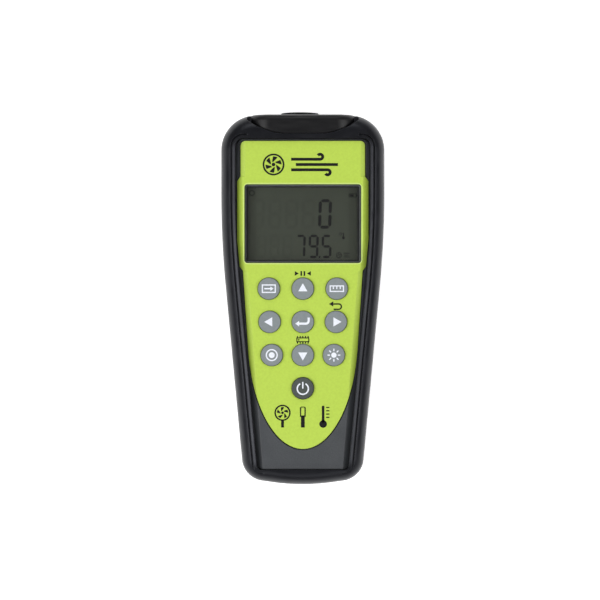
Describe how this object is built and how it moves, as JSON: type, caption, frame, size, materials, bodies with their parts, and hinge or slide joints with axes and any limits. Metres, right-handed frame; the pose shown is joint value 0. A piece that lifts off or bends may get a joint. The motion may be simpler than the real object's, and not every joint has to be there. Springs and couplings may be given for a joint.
{
  "type": "handheld weather meter",
  "caption": "Tapered handheld instrument in a rubber boot, with a wide numeric display, a round-key keypad, a probe socket in its end and a hinged battery cover.",
  "frame": {"origin": "middle of the back plane of the boot, half way along and across it; the meter lies on its back", "axes": "+X to the right as the face is read, +Y along the meter towards the probe socket, +Z out of the face"},
  "size_m": [0.084, 0.1916, 0.041],
  "materials": {
    "boot_rubber": "satin moulded rubber",
    "magnet_nickel": "nickel plated",
    "charcoal_plastic": "fine spark texture",
    "seal_rubber": "plain",
    "screw_steel": "zinc plated",
    "black_gloss_plastic": "polished",
    "socket_insert_plastic": "plain",
    "contact_brass": "turned",
    "circuit_board": "solder mask",
    "black_plastic": "plain",
    "lime_plastic": "fine satin texture",
    "window_clear": "clear moulded window",
    "lcd_glass": "reflective display",
    "light_guide": "clear white",
    "mat_rubber": "plain",
    "component_ceramic": "plain",
    "battery_can": "plain wrapped can",
    "spring_steel": "nickel plated",
    "key_rubber": "smooth silicone",
    "power_key_rubber": "smooth silicone"
  },
  "bodies": {
    "meter": {"rubber_boot": "boot_rubber", "boot_magnets": "magnet_nickel", "front_housing": "charcoal_plastic", "rear_housing": "charcoal_plastic", "case_seal": "seal_rubber", "case_screws": "screw_steel", "end_cap": "black_gloss_plastic", "probe_socket": "black_gloss_plastic", "socket_insert": "socket_insert_plastic", "socket_contacts": "contact_brass", "socket_nut": "contact_brass", "socket_washer": "screw_steel", "socket_board": "circuit_board", "board_header": "black_plastic", "face_plate": "lime_plastic", "display_window": "window_clear", "lcd_frame": "black_plastic", "lcd_glass": "lcd_glass", "lcd_backlight": "light_guide", "lcd_contact_strips": "seal_rubber", "keypad_mat": "mat_rubber", "key_domes": "screw_steel", "main_board": "circuit_board", "main_chip": "black_plastic", "board_components": "component_ceramic", "buzzer": "black_plastic", "board_screws": "screw_steel", "battery_tray": "black_plastic", "batteries": "battery_can", "battery_springs": "spring_steel", "battery_plates": "spring_steel"},
    "cover": {"battery_cover": "charcoal_plastic"},
    "key_duct": {"key_duct": "key_rubber"},
    "key_up": {"key_up": "key_rubber"},
    "key_unit": {"key_unit": "key_rubber"},
    "key_left": {"key_left": "key_rubber"},
    "key_enter": {"key_enter": "key_rubber"},
    "key_right": {"key_right": "key_rubber"},
    "key_record": {"key_record": "key_rubber"},
    "key_down": {"key_down": "key_rubber"},
    "key_light": {"key_light": "key_rubber"},
    "key_power": {"key_power": "power_key_rubber"}
  },
  "joints": [
    {"name": "key_duct_press", "type": "slide", "parent": "meter", "child": "key_duct", "axis": [0, 0, -1], "range_m": [0, 0.0008], "stiffness_N_per_m": 2000, "springref_m": -0.0002},
    {"name": "key_up_press", "type": "slide", "parent": "meter", "child": "key_up", "axis": [0, 0, -1], "range_m": [0, 0.0008], "stiffness_N_per_m": 2000, "springref_m": -0.0002},
    {"name": "key_unit_press", "type": "slide", "parent": "meter", "child": "key_unit", "axis": [0, 0, -1], "range_m": [0, 0.0008], "stiffness_N_per_m": 2000, "springref_m": -0.0002},
    {"name": "key_left_press", "type": "slide", "parent": "meter", "child": "key_left", "axis": [0, 0, -1], "range_m": [0, 0.0008], "stiffness_N_per_m": 2000, "springref_m": -0.0002},
    {"name": "key_enter_press", "type": "slide", "parent": "meter", "child": "key_enter", "axis": [0, 0, -1], "range_m": [0, 0.0008], "stiffness_N_per_m": 2000, "springref_m": -0.0002},
    {"name": "key_right_press", "type": "slide", "parent": "meter", "child": "key_right", "axis": [0, 0, -1], "range_m": [0, 0.0008], "stiffness_N_per_m": 2000, "springref_m": -0.0002},
    {"name": "key_record_press", "type": "slide", "parent": "meter", "child": "key_record", "axis": [0, 0, -1], "range_m": [0, 0.0008], "stiffness_N_per_m": 2000, "springref_m": -0.0002},
    {"name": "key_down_press", "type": "slide", "parent": "meter", "child": "key_down", "axis": [0, 0, -1], "range_m": [0, 0.0008], "stiffness_N_per_m": 2000, "springref_m": -0.0002},
    {"name": "key_light_press", "type": "slide", "parent": "meter", "child": "key_light", "axis": [0, 0, -1], "range_m": [0, 0.0008], "stiffness_N_per_m": 2000, "springref_m": -0.0002},
    {"name": "key_power_press", "type": "slide", "parent": "meter", "child": "key_power", "axis": [0, 0, -1], "range_m": [0, 0.0008], "stiffness_N_per_m": 2000, "springref_m": -0.0002},
    {"name": "cover_hinge", "type": "hinge", "parent": "meter", "child": "cover", "pos_m": [0, -0.0265, 0.0037], "axis": [-1, 0, 0], "range_deg": [0, 60]}
  ]
}
